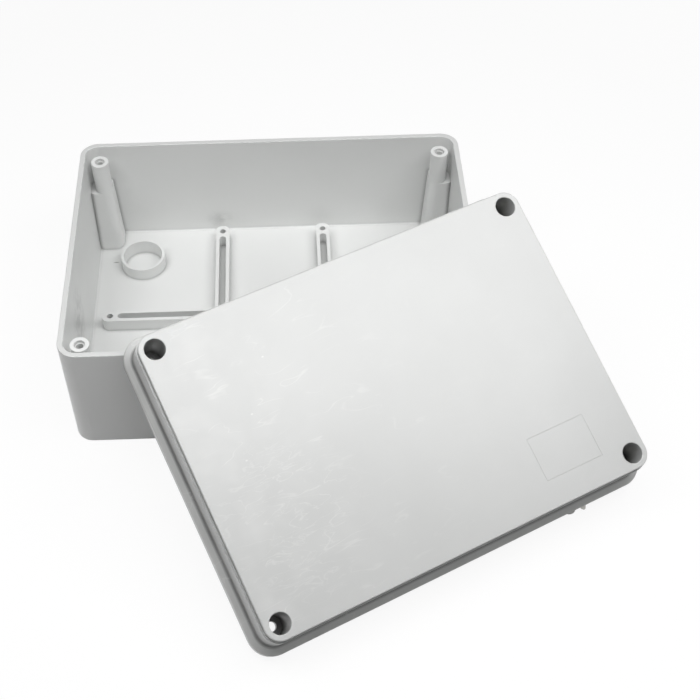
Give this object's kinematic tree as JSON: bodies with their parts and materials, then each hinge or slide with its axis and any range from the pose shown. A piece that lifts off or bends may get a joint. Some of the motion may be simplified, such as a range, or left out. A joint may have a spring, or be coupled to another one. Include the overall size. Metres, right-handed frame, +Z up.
{
  "type": "plastic screw-lid enclosure",
  "caption": "Deep rectangular plastic enclosure with corner pillars and slotted floor ribs, its deep screw-on lid taken off and leaning against the base.",
  "frame": {"origin": "middle of the underside of the base", "axes": "+Z up, +X along the long side of the base to the right, +Y to the back of the base, the lid lies towards -Y"},
  "size_m": [0.2648, 0.271, 0.095],
  "materials": {
    "base_plastic": "light grey moulded plastic, satin",
    "lid_plastic": "light grey moulded plastic, satin with fine handling scratches",
    "gasket_foam": "dark foam seal",
    "screw_steel": "dull zinc-plated steel",
    "washer_nylon": "pale nylon"
  },
  "bodies": {
    "base": {"base_shell": "base_plastic"},
    "lid": {"lid_cover": "lid_plastic", "lid_gasket": "gasket_foam", "screw_washer_1": "washer_nylon", "screw_washer_2": "washer_nylon"},
    "screw_1": {"lid_screw_1": "screw_steel"},
    "screw_2": {"lid_screw_2": "screw_steel"},
    "hidden_screw": {"lid_screw_3": "screw_steel", "screw_washer_3": "washer_nylon"},
    "loose_screw": {"lid_screw_4": "screw_steel"},
    "loose_washer": {"screw_washer_4": "washer_nylon"}
  },
  "joints": [
    {"name": "lid_lift", "type": "slide", "parent": "base", "child": "lid", "axis": [0, 0, 1], "range_m": [0, 0.08]},
    {"name": "screw_1_turn", "type": "hinge", "parent": "lid", "child": "screw_1", "pos_m": [0.10531, -0.0059, 0.07418], "axis": [0.1856, -0.4285, 0.8843], "continuous": true},
    {"name": "screw_2_turn", "type": "hinge", "parent": "lid", "child": "screw_2", "pos_m": [0.15522, -0.10556, 0.01542], "axis": [0.1856, -0.4285, 0.8843], "continuous": true},
    {"name": "loose_screw_slide", "type": "slide", "parent": "base", "child": "loose_screw", "axis": [0, 1, 0], "range_m": [0, 0.12]},
    {"name": "hidden_screw_slide", "type": "slide", "parent": "base", "child": "hidden_screw", "axis": [-0.4477, 0.8942, 0], "range_m": [0, 0.045]},
    {"name": "loose_washer_slide", "type": "slide", "parent": "base", "child": "loose_washer", "axis": [0.4477, -0.8942, 0], "range_m": [0, 0.05]}
  ]
}
